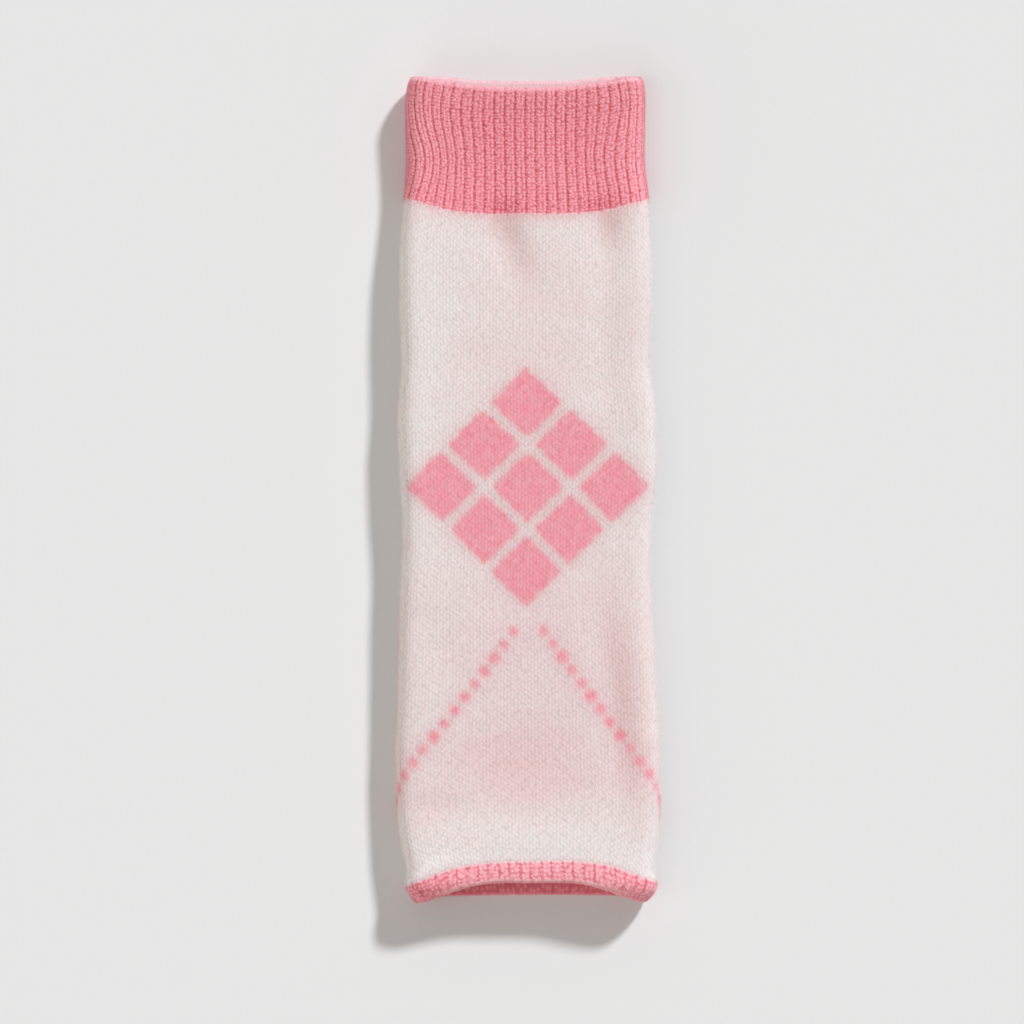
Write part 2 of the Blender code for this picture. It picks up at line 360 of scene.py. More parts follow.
def cloth(turns, y, inward):
    """Points of the cloth, each moved inward from its outer surface by a depth, square to the section."""
    angle, nudge = angles_of(turns), 1e-3
    x, z = section(angle, y)
    ahead, behind = section(angle + nudge, y), section(angle - nudge, y)
    dx, dz = ahead[0] - behind[0], ahead[1] - behind[1]
    size = np.hypot(dx, dz)
    resting = np.maximum(z - inward * dx / size, 0.0)
    return np.stack([x + inward * dz / size, y, resting], -1)


LEG_GIRTH, CUFF_GIRTH, HEM_GIRTH = (girth_at(y)[0][-1] for y in (0.0, 120.0, -141.0))
print(f"girth: leg {LEG_GIRTH:.0f}, cuff {CUFF_GIRTH:.0f}, hem {HEM_GIRTH:.0f} mm")

# %% [markdown]
# ## A wall of knitting as one grid
# Each stretch is a tube with a real thickness. Its surface runs down the outside, over the lower rim, up
# the inside and over the upper rim back to where it began, and it also closes round the girth. So one grid
# that joins up both ways makes the whole closed wall. A row of the grid is a share of the way from the
# first course to the last, a step along past them for the rims, and a depth below the outer surface.

# %% Rows of a wall
def wall_rows(outer, inner, upper_rim, lower_rim, wall):
    """Arrays share, step, depth: outer shares, lower rim, inner shares at the wall's depth, upper rim."""
    outer, inner = np.asarray(outer, float), np.asarray(inner, float)
    upper_rim, lower_rim = np.asarray(upper_rim, float), np.asarray(lower_rim, float)
    share = [outer, np.ones(len(lower_rim)), inner, np.zeros(len(upper_rim))]
    step = [0 * outer, -lower_rim[:, 0], 0 * inner, upper_rim[::-1, 0]]
    depth = [0 * outer, lower_rim[:, 1], 0 * inner + wall, upper_rim[::-1, 1]]
    return np.concatenate(share), np.concatenate(step), np.concatenate(depth)


def round_rim(wall, count):
    """A half circle from the outer to the inner side: step = wall/2 sin t, depth = wall/2 (1 - cos t)."""
    t = np.linspace(0, np.pi, count + 2)[1:-1]
    return np.stack([wall / 2 * np.sin(t), wall / 2 * (1 - np.cos(t))], -1)


def knit_mesh(name, points, uv, colour):
    """A closed mesh from a grid of points in mm that joins up both ways, with UVs and RGBA at its corners."""
    rows, columns = points.shape[:2]
    index = np.arange(rows * columns).reshape(rows, columns)
    below, right = np.roll(index, -1, 0), np.roll(index, -1, 1)
    faces = np.stack([index, below, np.roll(below, -1, 1), right], -1).reshape(-1, 4)
    mesh = bpy.data.meshes.new(name)
    mesh.from_pydata((points.reshape(-1, 3) * MM).tolist(), [], faces.tolist())
    mesh.shade_smooth()
    layer = mesh.uv_layers.new(name="knit")
    corner_uv = np.stack([uv[:-1, :-1], uv[1:, :-1], uv[1:, 1:], uv[:-1, 1:]], 2).reshape(-1, 2)
    layer.data.foreach_set("uv", corner_uv.astype(np.float32).ravel())
    tint = mesh.color_attributes.new(name="yarn", type="FLOAT_COLOR", domain="CORNER")
    tint.data.foreach_set("color", colour.reshape(-1, 4).astype(np.float32).ravel())
    thing = bpy.data.objects.new(name, mesh)
    bpy.context.scene.collection.objects.link(thing)
    triangles = 2 * len(faces)
    print(f"{name}: {rows} x {columns} points, {triangles} triangles")
    return thing


def at_corners(values):
    """Values of a closed grid's points, laid out for the four corners of each face."""
    below, right = np.roll(values, -1, 0), np.roll(values, -1, 1)
    return np.stack([values, below, np.roll(below, -1, 1), right], 2)


RIM_ROWS = 5
LEG_INSIDE_ROWS, RIB_INSIDE_ROWS = 24, 12  # the inside is plain, so it needs few
print("rim of a 2 mm wall:", round_rim(2.0, 3).round(2).tolist())

# %% [markdown]
# ## The leg: a row of stitches, a course of stitches
# Plain knitting shows columns of stitches, called wales, and rows, called courses. Each stitch is a V: two
# short legs of yarn that lean together. A V can be made with a very small grid: two columns of faces a
# wale, whose shared middle line is slid down by a whole course. Each face is then one leg of a V. The lines
# between wales are sunk a little, which gives the fine furrows that run down a knitted tube.

# %% Stitches of the leg
LEG_WALES = 168
LEG_COURSE = 0.98  # mm of tube for each course
LEG_COURSES = round((CUFF_SEAM.front_side - HEM_SEAM.front_side) / LEG_COURSE)
LEG_WALL = 1.6
WALE_FURROW = 0.05
ROUGHNESS = 0.025  # mm that loops stand out or in by chance
STITCH_SLANT = 1.0  # courses that the middle of a V lies below its tips
TUCK_REACH, TUCK_DEPTH = 2.2, 1.0  # the leg's ends slip under the ribs by this much

print(f"wale {LEG_GIRTH / LEG_WALES:.2f} mm, course {LEG_COURSE} mm, {LEG_WALES} x {LEG_COURSES} stitches")

# %% [markdown]
# ## The chart
# A pattern in knitting is a chart: one square a stitch. The chart here is an array with a row for each
# course and a column for each wale, worked out from distances in millimetres. It has a harlequin figure,
# nine filled lozenges in a larger lozenge, and two lines of dots that start below it, spread, pass the side
# folds and run on round the back to the hem.

# %% Work out the chart
FIGURE_MIDDLE = (0.0, 0.7)  # mm round the girth from the middle, and along
FIGURE_HALF = (46.4, 45.4)
FIGURE_CELLS = 3
FIGURE_GAP = 3.6
DOT_RADIUS, DOT_BLUR = 1.95, 1.6
DOTS_VARY = (0.85, 1.2)  # least and greatest share of the radius
DotLine = namedtuple("DotLine", "around along around_step along_step count")
DOT_LINES = (
    DotLine(around=-4.6, along=-51.1, around_step=-3.5, along_step=-4.71, count=19),
    DotLine(around=6.2, along=-50.8, around_step=3.25, along_step=-4.68, count=19),
)


def stitch_places():
    """Millimetres round the girth from the front's middle, from minus to plus half of it, and along."""
    wale = (np.arange(LEG_WALES) + 0.5) / LEG_WALES
    around = (np.mod(wale + 0.5, 1.0) - 0.5) * LEG_GIRTH
    share = (np.arange(LEG_COURSES)[:, None] + 0.5) / LEG_COURSES
    turns = wale * 360.0
    along = course_at(CUFF_SEAM, turns) * (1 - share) + course_at(HEM_SEAM, turns) * share
    return np.broadcast_to(around, along.shape), along


def figure_chart(around, along):
    """1 in the lozenges: u + v and u - v run from -1 to 1, and each is cut in equal cells with gaps."""
    u = (around - FIGURE_MIDDLE[0]) / FIGURE_HALF[0]
    v = (along - FIGURE_MIDDLE[1]) / FIGURE_HALF[1]
    gap = FIGURE_GAP * np.hypot(1 / FIGURE_HALF[0], 1 / FIGURE_HALF[1])
    inside = np.ones(around.shape, bool)
    for side in (u + v, u - v):
        place = (side + 1) / 2 * FIGURE_CELLS
        margin = gap / 4 * FIGURE_CELLS
        inside &= (np.abs(side) < 1) & (np.abs(np.mod(place, 1.0) - 0.5) < 0.5 - margin)
    return inside.astype(float)


def dot_chart(around, along):
    """From 1 at a dot's middle to 0 outside it, where the distance round the girth is taken the short way."""
    share, random = np.zeros(around.shape), np.random.default_rng(3)
    for line in DOT_LINES:
        for k in range(line.count):
            side = around - line.around - k * line.around_step
            side = np.mod(side + LEG_GIRTH / 2, LEG_GIRTH) - LEG_GIRTH / 2
            distance = np.hypot(side, along - line.along - k * line.along_step)
            dot = np.clip((DOT_RADIUS * random.uniform(*DOTS_VARY) - distance) / DOT_BLUR + 0.5, 0, 1)
            share = np.maximum(share, dot)
    return share


AROUND, ALONG = stitch_places()
CHART = np.maximum(figure_chart(AROUND, ALONG), dot_chart(AROUND, ALONG))
print(f"pink stitches: {(CHART > 0.5).sum()} of {CHART.size}")

# %% [markdown]
# ## Yarn colours of the leg
# The pale yarn isn't one even colour. It is creamy white where it lies open, and rosier in wide soft patches
# and round the figure, where pink yarn floats on the wrong side. In the troughs, where light is caught
# between their sides, and along the right side, it is darkened with painted shade. Every stitch took up the
# dye a little differently, in faint streaks along the courses, and the pink ones also vary. All of this is
# worked out once a stitch.

# %% Colour each stitch
PALE_YARN = "#F0EAE7"
ROSY_YARN = "#F0CCCB"
# painted shade: the greyer rose that the pale yarn turns towards where shade falls
PAINTED_SHADE_YARN = "#DFBDB9"
BLUSHED_YARN = "#EACACB"
FIGURE_YARN = "#FB98A9"
JOINING_YARN = "#F3A9B2"  # the ribs' pink, which runs into the first and last courses of the leg
FIRST_COURSES, LAST_COURSES = (0.65, 0.2), (0.05, 0.3)  # its share in them
FIGURE_TAKES, JOINING_TAKES = (0.55, 1.0), (0.3, 1.0)  # how much of its pink a stitch shows, by chance
FLOATS_REACH = 4  # stitches from a pink one, over which its floats blush the pale ones
FLOATS_SHOW = 1.3
STITCH_VARIES = 0.022
STREAKS = 0.035
STREAK_REACH = (7, 2)  # stitches across and along
BLUSHES = (
    Oval(across=6.0, along=40.0, length=80.0, width=32.0, amount=0.32),
    Oval(across=0.0, along=99.0, length=4.5, width=70.0, amount=0.35),
    Oval(across=-18.0, along=50.0, length=8.0, width=9.0, amount=0.12),
    Oval(across=8.0, along=-60.0, length=36.0, width=60.0, amount=0.42),
    Oval(across=0.0, along=-102.0, length=17.0, width=70.0, amount=0.42),
    Oval(across=-3.0, along=-99.0, length=13.0, width=20.0, amount=0.25),
    Oval(across=-35.0, along=-115.0, length=6.0, width=9.0, amount=0.3),
    Oval(across=35.0, along=-80.0, length=34.0, width=6.0, turned=5.5, amount=0.3),
)
# Painted shade: ovals over the troughs and along the right side, where the pale yarn is darkened
PAINTED_SHADE_OVALS = (
    Oval(across=-9.0, along=96.0, length=8.0, width=7.0, turned=16.0, amount=0.5),
    Oval(across=-2.5, along=84.0, length=12.0, width=6.0, turned=16.0, amount=0.45),
    Oval(across=31.0, along=97.0, length=10.0, width=5.5, turned=-4.0, amount=0.6),
    Oval(across=32.0, along=60.0, length=40.0, width=5.0, amount=0.12),
    Oval(across=34.5, along=-78.0, length=32.0, width=5.5, turned=5.5, amount=0.25),
    Oval(across=42.0, along=50.0, length=80.0, width=7.0, amount=0.14),
)


def spread(values, across, along):
    """Mean over a block of stitches, 2 across + 1 by 2 along + 1, which wraps round the girth."""
    total = 0.0
    for step in range(-across, across + 1):
        total = total + np.roll(values, step, 1)
    rows = np.pad(total / (2 * across + 1), ((along, along), (0, 0)), mode="edge")
    return sum(rows[k : k + len(values)] for k in range(2 * along + 1)) / (2 * along + 1)


def mixed(first, second, share):
    """First colour where the share is 0, second where it is 1."""
    return first * (1 - share[..., None]) + second * share[..., None]


def leg_colours():
    """Linear colour of every stitch: pale, rosier by the blush table and near pink stitches, darker by a
    table of painted shade, or pink.
    """
    random = np.random.default_rng(7)
    streaks = spread(random.standard_normal(CHART.shape), *STREAK_REACH)
    rosy = np.clip(ovals(BLUSHES, AROUND, ALONG) + STREAKS * streaks / streaks.std(), 0, 1)
    behind = np.clip(spread(CHART, FLOATS_REACH, FLOATS_REACH) * FLOATS_SHOW, 0, 1)
    pale = mixed(linear(PALE_YARN), linear(ROSY_YARN), rosy)
    pale = mixed(pale, linear(PAINTED_SHADE_YARN), np.clip(ovals(PAINTED_SHADE_OVALS, AROUND, ALONG), 0, 1))
    pale = mixed(pale, linear(BLUSHED_YARN), behind)
    colour = mixed(pale, linear(FIGURE_YARN), CHART * random.uniform(*FIGURE_TAKES, CHART.shape))
    joined = np.zeros(CHART.shape)
    joined[:2], joined[-2:] = np.array(FIRST_COURSES)[:, None], np.array(LAST_COURSES)[:, None]
    joined = joined * random.uniform(*JOINING_TAKES, CHART.shape)
    colour = mixed(colour, linear(JOINING_YARN), joined)
    return colour * (1 + STITCH_VARIES * random.standard_normal((*CHART.shape, 1)))


def at_points(stitches):
    """Colours of the grid's points, at wales' edges and middles: means of the stitches that meet there."""
    padded = np.pad(stitches, ((1, 1), (0, 0), (0, 0)), mode="edge")
    level = (padded[1:] + padded[:-1]) / 2
    between = (level + np.roll(level, 1, 1)) / 2
    return np.stack([between, level], 2).reshape(len(level), -1, 3)


STITCH_COLOURS = leg_colours()
print("mean stitch:", STITCH_COLOURS.mean((0, 1)).round(3))

# %% [markdown]
# ## Cotton yarn
# Spun cotton is matt, with a faint bloom of fibre ends that lightens it at a slant. Its colour comes from
# the stitch colours above, and light passes a little way through the yarn, so that no shade in it is quite
# grey. Between the wales the loops leave small pits, some deeper than others, where less light gets in. A
# wave across the wales, broken up by a noise, gives these pits their depth and a painted shade. Each loop
# is a raised spot, uneven in place and size, with painted shade between the spots, and a much finer noise
# adds the loose fibres.

# %% Cotton, and the leg's yarn
FIBRE_NOISE = (1500.0, 2.0, 0.6)  # scale, detail and roughness


def cotton(name, fuzz, stitches):
    """Matt cotton in its yarn attribute's colour. stitches adds nodes of its own and gives colour and height.

    The attribute's alpha says how far the stitches show: 1 on the right side and 0 on the plain wrong side.
    """
    material, shader = new_material(name, roughness=0.9, sheen=0.30, scatter=0.25)
    tree = material.node_tree
    yarn = add_node(tree, "ShaderNodeAttribute", attribute_name="yarn")
    place = add_node(tree, "ShaderNodeTexCoord").outputs["Object"]
    fibres = add_node(tree, "ShaderNodeTexNoise", place, None, *FIBRE_NOISE).outputs["Fac"]
    height = add_node(tree, "ShaderNodeMath", fibres, fuzz, operation="MULTIPLY").outputs[0]
    colour, height = stitches(tree, yarn.outputs["Color"], height, yarn.outputs["Alpha"])
    bump = add_node(tree, "ShaderNodeBump")
    bump.inputs["Distance"].default_value = MM
    tree.links.new(height, bump.inputs["Height"])
    tree.links.new(colour, shader.inputs["Base Color"])
    tree.links.new(bump.outputs["Normal"], shader.inputs["Normal"])
    return material


LEG_SPOTS = (None, 1.0, None, None, None, None, None, 0.42)  # scale and unevenness of a pattern of spots
LOOP_GAPS = (0.15, 0.75)  # pitches from a spot's middle: where the shade between loops starts and is full
PIT_DEPTH = 0.09  # mm
PIT_SHADE = 0.14
LOOP_TURN = (0.0, 0.0, np.pi / 4)
LOOP_PITCH = (0.5**0.5,) * 3  # with the turn, a spot on every second course, staggered from wale to wale
# painted shade between the loops, multiplied into the colour
LOOP_PAINTED_SHADE = (0.84, 0.78, 0.78, 1.0)
LOOP_DEPTH = 0.03
# painted shade in the pits between wales, multiplied into the colour
PIT_PAINTED_SHADE = (0.66, 0.56, 0.56, 1.0)
PIT_PITCH = (1.3, 1.1, 1.0)  # noise cells a wale and a course
PIT_NOISE = (0.1, 0.9)  # where the noise leaves no pit, and a full one


def wale_pits(tree, colour, height, showing):
    """Pit = (0.5 + 0.5 cos(2 pi wale)) * noise; it darkens the colour as painted shade and lowers the height.
    Between the loops' spots the colour is darkened as painted shade too.
    """
    stitch = add_node(tree, "ShaderNodeUVMap", uv_map="knit").outputs["UV"]
    wale = add_node(tree, "ShaderNodeSeparateXYZ", stitch).outputs["X"]
    turn = add_node(tree, "ShaderNodeMath", wale, 2 * np.pi, operation="MULTIPLY").outputs[0]
    wave = add_node(tree, "ShaderNodeMath", turn, operation="COSINE").outputs[0]
    furrow = add_node(tree, "ShaderNodeMath", wave, 0.5, 0.5, operation="MULTIPLY_ADD").outputs[0]
    furrow = add_node(tree, "ShaderNodeMath", furrow, showing, operation="MULTIPLY").outputs[0]
    scaled = add_node(tree, "ShaderNodeMapping", stitch, None, None, PIT_PITCH).outputs["Vector"]
    noise = add_node(tree, "ShaderNodeTexNoise", scaled, None, 1.0, 1.0, 0.5).outputs["Fac"]
    uneven = add_node(tree, "ShaderNodeMapRange", noise, *PIT_NOISE).outputs[0]
    pit = add_node(tree, "ShaderNodeMath", furrow, uneven, operation="MULTIPLY").outputs[0]
    share = add_node(tree, "ShaderNodeMath", pit, PIT_SHADE, operation="MULTIPLY").outputs[0]
    shaded = add_node(tree, "ShaderNodeMixRGB", share, colour, PIT_PAINTED_SHADE, blend_type="MULTIPLY").outputs[0]
    sunk = add_node(tree, "ShaderNodeMath", pit, -PIT_DEPTH, height, operation="MULTIPLY_ADD").outputs[0]
    turned = add_node(tree, "ShaderNodeMapping", stitch, None, LOOP_TURN, LOOP_PITCH).outputs["Vector"]
    spots = add_node(tree, "ShaderNodeTexVoronoi", turned, *LEG_SPOTS, voronoi_dimensions="2D")
    low = add_node(tree, "ShaderNodeMapRange", spots.outputs["Distance"], *LOOP_GAPS).outputs[0]
    shaded = add_node(tree, "ShaderNodeMixRGB", low, shaded, LOOP_PAINTED_SHADE, blend_type="MULTIPLY").outputs[0]
    sunk = add_node(tree, "ShaderNodeMath", low, -LOOP_DEPTH, sunk, operation="MULTIPLY_ADD").outputs[0]
    return shaded, sunk


PALE_COTTON = cotton("combed_cotton_plain_knit", fuzz=0.08, stitches=wale_pits)
print("material:", PALE_COTTON.name)


# %% Knit the leg
def make_leg():
    """The plain tube: V stitches outside, a coarser plain inside, and ends that slip under the ribs."""
    ends = [(TUCK_REACH, TUCK_DEPTH), (TUCK_REACH, LEG_WALL)]
    outer = np.linspace(0, 1, LEG_COURSES + 1)
    share, step, depth = wall_rows(outer, np.linspace(1, 0, LEG_INSIDE_ROWS), ends, ends, LEG_WALL)
    columns = np.arange(2 * LEG_WALES)
    turns = np.broadcast_to(columns * 180.0 / LEG_WALES, (len(share), len(columns)))
    middle = columns % 2
    knitted = (depth == 0) & (share > 0) & (share < 1)
    y = course_at(CUFF_SEAM, turns) * (1 - share[:, None]) + course_at(HEM_SEAM, turns) * share[:, None]
    y = y + step[:, None] - knitted[:, None] * STITCH_SLANT * LEG_COURSE * (middle - 0.5)
    rough = ROUGHNESS * np.random.default_rng(5).standard_normal(turns.shape)
    inward = depth[:, None] + (depth[:, None] == 0) * (WALE_FURROW * (1 - middle) + rough)
    points = cloth(turns, y, inward)
    v = np.concatenate([np.arange(LEG_COURSES + 1), LEG_COURSES + np.arange(1, len(share) - LEG_COURSES)])
    u, v = np.meshgrid(np.arange(2 * LEG_WALES + 1) / 2, np.append(v, v[-1] + 1))
    colour = np.zeros((len(share), len(columns), 4))
    colour[..., :3] = linear(BLUSHED_YARN)
    colour[: LEG_COURSES + 1, :, :3] = at_points(STITCH_COLOURS)
    colour[: LEG_COURSES + 1, :, 3] = 1.0
    leg = knit_mesh("leg_knit", points, np.stack([u, v], -1), at_corners(colour))
    leg.data.materials.append(PALE_COTTON)
    return leg


LEG = make_leg()
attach(LEG, "root")
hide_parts("leg")

# %% [markdown]
# ## Ribs
# A rib that stretches is knitted as two wales forward and one wale back. The wale knitted back sinks into a
# groove, and the two forward ones stand as a pair of cords with a shallower cleft between them. Down the
# groove each course shows as a small bar with a dark gap below it, and down the cords as a V of two beads.
# All of it is a height worked out from the place across the rib and the place along the tube. No two beads
# are the same size.

# %% The rib's relief
RIB_COUNT = 52
RIB_POINTS = 10
BEADS_VARY = 0.5
# Groove and cleft are widths in ribs, cleft_raised is the cleft's height, the bead's tone is painted light
# that makes each bead paler and the gaps between deeper, and loops scales the loops' spots.
RibStyle = namedtuple("RibStyle", "groove cleft cleft_raised vees bead_height bead_tone speck_tone loops")
CUFF_STYLE = RibStyle(
    groove=0.13,
    cleft=0.08,
    cleft_raised=0.60,
    vees=2,
    bead_height=0.10,
    bead_tone=0.12,
    speck_tone=0.12,
    loops=1.0,
)
HEM_STYLE = CUFF_STYLE._replace(
    cleft_raised=0.85, vees=1, bead_height=0.04, bead_tone=0.18, speck_tone=0.24, loops=0.82
)


def rib_relief(phase, course, style, seed):
    """Raised from 0 in the groove to 1 on the cords, and the bead at each course from about -1 to 1.

    Raised = 1 - exp(-(distance from the groove / its width)^2) - a like, smaller term for the cleft.
    The bead is cos(course), slid down by a whole course from a V's sides to its middle, times its own size.
    """
    within = np.mod(phase, 1.0)
    from_groove, from_cleft = np.minimum(within, 1 - within), np.abs(within - 0.5)
    raised = 1 - np.exp(-((from_groove / style.groove) ** 2))
    raised = raised - (1 - style.cleft_raised) * np.exp(-((from_cleft / style.cleft) ** 2))
    slid = course - 1 + np.abs(2 * np.mod(phase * style.vees, 1.0) - 1)
    sizes = np.random.default_rng(seed).standard_normal((int(course.max()) + 3, 2 * RIB_COUNT))
    column = np.floor(phase * 2).astype(int) % sizes.shape[1]
    size = sizes[np.clip(np.rint(slid).astype(int), 0, None), column]
    return raised, np.cos(2 * np.pi * slid) * (1 + BEADS_VARY * size)


SAMPLE = rib_relief(np.linspace(0, 1, 6), np.zeros(6), CUFF_STYLE, 0)[0]
print("raised across a rib:", SAMPLE.round(2))

# %% [markdown]
# The cuff's colour follows its relief, as painted light: the cords are painted pale, as if lit, and the
# grooves a deeper pink, as painted shade where light is caught between the cords. A table of patches makes
# some places deeper and others paler; the deep ones at the seam are painted shade where the leg's troughs
# run up into the cuff. The inside of the upper edge, which shows above the front, is the paler wrong side.

# %% Colours of the rib
# inside_shows says how far the stitches show inside, and fold how far painted shade deepens the side folds.
RibYarn = namedtuple("RibYarn", "cord groove inside inside_shows edge back_edge fold patches")
CUFF_PATCHES = (  # deeper above zero, paler below
    Oval(across=-9.0, along=129.0, length=15.0, width=9.0, amount=0.13),
    Oval(across=19.0, along=131.0, length=15.0, width=7.0, amount=0.08),
    # painted shade where the leg's troughs run up into the cuff
    Oval(across=-9.0, along=100.0, length=4.0, width=7.0, amount=0.4),
    Oval(across=27.0, along=101.0, length=4.0, width=7.0, amount=0.4),
    Oval(across=-37.0, along=120.0, length=26.0, width=8.0, amount=-0.12),
    Oval(across=36.0, along=120.0, length=26.0, width=8.0, amount=-0.12),
    Oval(across=-39.0, along=129.0, length=8.0, width=5.0, amount=-0.14),
    Oval(across=42.5, along=120.0, length=26.0, width=4.5, amount=-0.4),
    Oval(across=0.0, along=144.0, length=4.5, width=50.0, amount=-0.2),
)
# cord and groove are mixed by relief: painted highlight on the cords, painted shade in the grooves
CUFF_YARN = RibYarn(
    cord="#FFAAB5",
    groove="#D03C4E",
    inside="#EFCCD0",
    inside_shows=0.3,
    edge="#F6B4BD",
    back_edge="#EDC3C8",
    fold=0.0,
    patches=CUFF_PATCHES,
)


# painted light: the groove's share is painted shade, and what relief adds is painted highlight on the cords
GROOVE_SHARE, RAISED_SHARE = 0.12, 0.66  # of the cord's colour in a groove, and what relief adds


def rib_tone(raised, bead, style, seed):
    """Share of the cord's colour, as painted light: low in the groove as painted shade, high on the cords and
    higher still on each bead as painted highlight.
    """
    speck = np.random.default_rng(seed).standard_normal(raised.shape)
    share = GROOVE_SHARE + RAISED_SHARE * raised
    return np.clip(share + style.bead_tone * bead + style.speck_tone * speck, 0, 1)


BEAD_PITCH = (3.0, 1.1, 1.0)  # beads a rib and a course
RIB_SPOTS = (None, 1.0, None, None, None, None, None, 0.62)  # as for the leg
BEAD_TOPS, BEAD_GAPS = (0.32, 0.05), (0.42, 0.80)  # where pale and deep pink start and are full
# painted highlight on each loop's top, and painted shade in the gaps between loops
BEAD_PAINTED_HIGHLIGHT = (1.0, 0.64, 0.67, 1.0)
BEAD_PAINTED_SHADE = (0.60, 0.10, 0.14, 1.0)
BEAD_SHARE = 0.65
LOOP_RISE = 0.05  # mm


def rib_beads(tree, colour, height, showing):
    """Loops of yarn on the ribs: uneven spots, three across a rib, raised, with a painted highlight on each
    and painted shade between them.
    """
    stitch = add_node(tree, "ShaderNodeUVMap", uv_map="knit").outputs["UV"]
    scaled = add_node(tree, "ShaderNodeMapping", stitch, None, None, BEAD_PITCH).outputs["Vector"]
    spots = add_node(tree, "ShaderNodeTexVoronoi", scaled, *RIB_SPOTS, voronoi_dimensions="2D")
    spot = spots.outputs["Distance"]
    high = add_node(tree, "ShaderNodeMapRange", spot, *BEAD_TOPS, 0.0, BEAD_SHARE).outputs[0]
    low = add_node(tree, "ShaderNodeMapRange", spot, *BEAD_GAPS, 0.0, BEAD_SHARE).outputs[0]
    high = add_node(tree, "ShaderNodeMath", high, showing, operation="MULTIPLY").outputs[0]
    low = add_node(tree, "ShaderNodeMath", low, showing, operation="MULTIPLY").outputs[0]
    paler = add_node(tree, "ShaderNodeMixRGB", high, colour, BEAD_PAINTED_HIGHLIGHT).outputs["Color"]
    deeper = add_node(tree, "ShaderNodeMixRGB", low, paler, BEAD_PAINTED_SHADE).outputs["Color"]
    raised = add_node(tree, "ShaderNodeMath", spot, -LOOP_RISE, height, operation="MULTIPLY_ADD").outputs[0]
    return deeper, raised


PINK_COTTON = cotton("combed_cotton_rib_knit", fuzz=0.10, stitches=rib_beads)
print("material:", PINK_COTTON.name)

# %% [markdown]
# Round the folds the ribs don't run straight. Where the cuff narrows, the cloth creeps round the fold, so
# that the ribs bow in at the middle and fan out towards the corners. This creep is again a table of soft
# ovals, in millimetres round the girth, which are added to the turns.

# %% How the ribs bow
CUFF_BOWS = (
    Oval(across=-42.0, along=117.0, length=13.0, width=11.0, amount=3.9),
    Oval(across=-27.0, along=135.0, length=9.0, width=11.0, amount=-1.4),
    Oval(across=31.0, along=137.0, length=10.0, width=8.0, amount=1.5),
    Oval(across=28.0, along=118.0, length=9.0, width=6.0, amount=-0.8),
)


def bowed(turns, y, bows, girth):
    """Turns moved round the girth: each by the ovals' millimetres at its own place, times 360 / girth."""
    x, _ = section(angles_of(turns), y)
    return turns + ovals(bows, x, y) * 360.0 / girth


print("bows:", len(CUFF_BOWS))

# %% A ribbed wall
RIB_ROWS_EACH = 4
RIB_FADE = 1.6  # mm from the seam over which the ribs flatten into the leg
EDGE_REACH = 0.7  # mm from the open edge over which its own thread shows
INSIDE_AWAY = 9.0  # mm that the inside counts as further from the edge, so that no thread shows there
SEAM_REACH = 0.5  # mm from the seam over which pale yarn runs into the ribs


def moved(course, step):
    """The same course, moved along the tube."""
    return Course(*(place + step for place in course[:8]), course.lean)


def rib_colours(raised, bead, turns, patch, outside, from_seam, from_edge, style, yarn, seed):
    """RGBA: cord and groove by relief as painted light, deeper by painted shade at the folds and by the
    patches, the wrong side inside, pale yarn at the seam, a thread at the edge.
    """
    # painted shade at the side folds, added to the patches
    deeper = yarn.fold * np.sin(np.radians(turns)) ** 8 + patch
    share = np.clip(rib_tone(raised, bead, style, seed) * (1 - deeper), 0, 1)
    colour = mixed(linear(yarn.groove), linear(yarn.cord), share)
    speck = np.random.default_rng(seed + 1).uniform(0.2, 1.0, raised.shape)
    joined = outside * speck * np.exp(-((from_seam / SEAM_REACH) ** 2))
    colour = mixed(colour, linear(PALE_YARN), joined)
    colour = mixed(linear(yarn.inside), colour, outside)
    front = np.clip(2.5 * np.cos(np.radians(turns)) - 0.6, 0, 1)
    thread = mixed(linear(yarn.back_edge), linear(yarn.edge), front)
    at_edge = np.clip(1.0 - from_edge / EDGE_REACH, 0, 1) * speck
    colour = colour + (thread - colour) * at_edge[..., None]
    shows = (yarn.inside_shows + (1 - yarn.inside_shows) * outside) * (1 - 0.5 * at_edge)
    return np.concatenate([colour, shows[..., None]], -1)


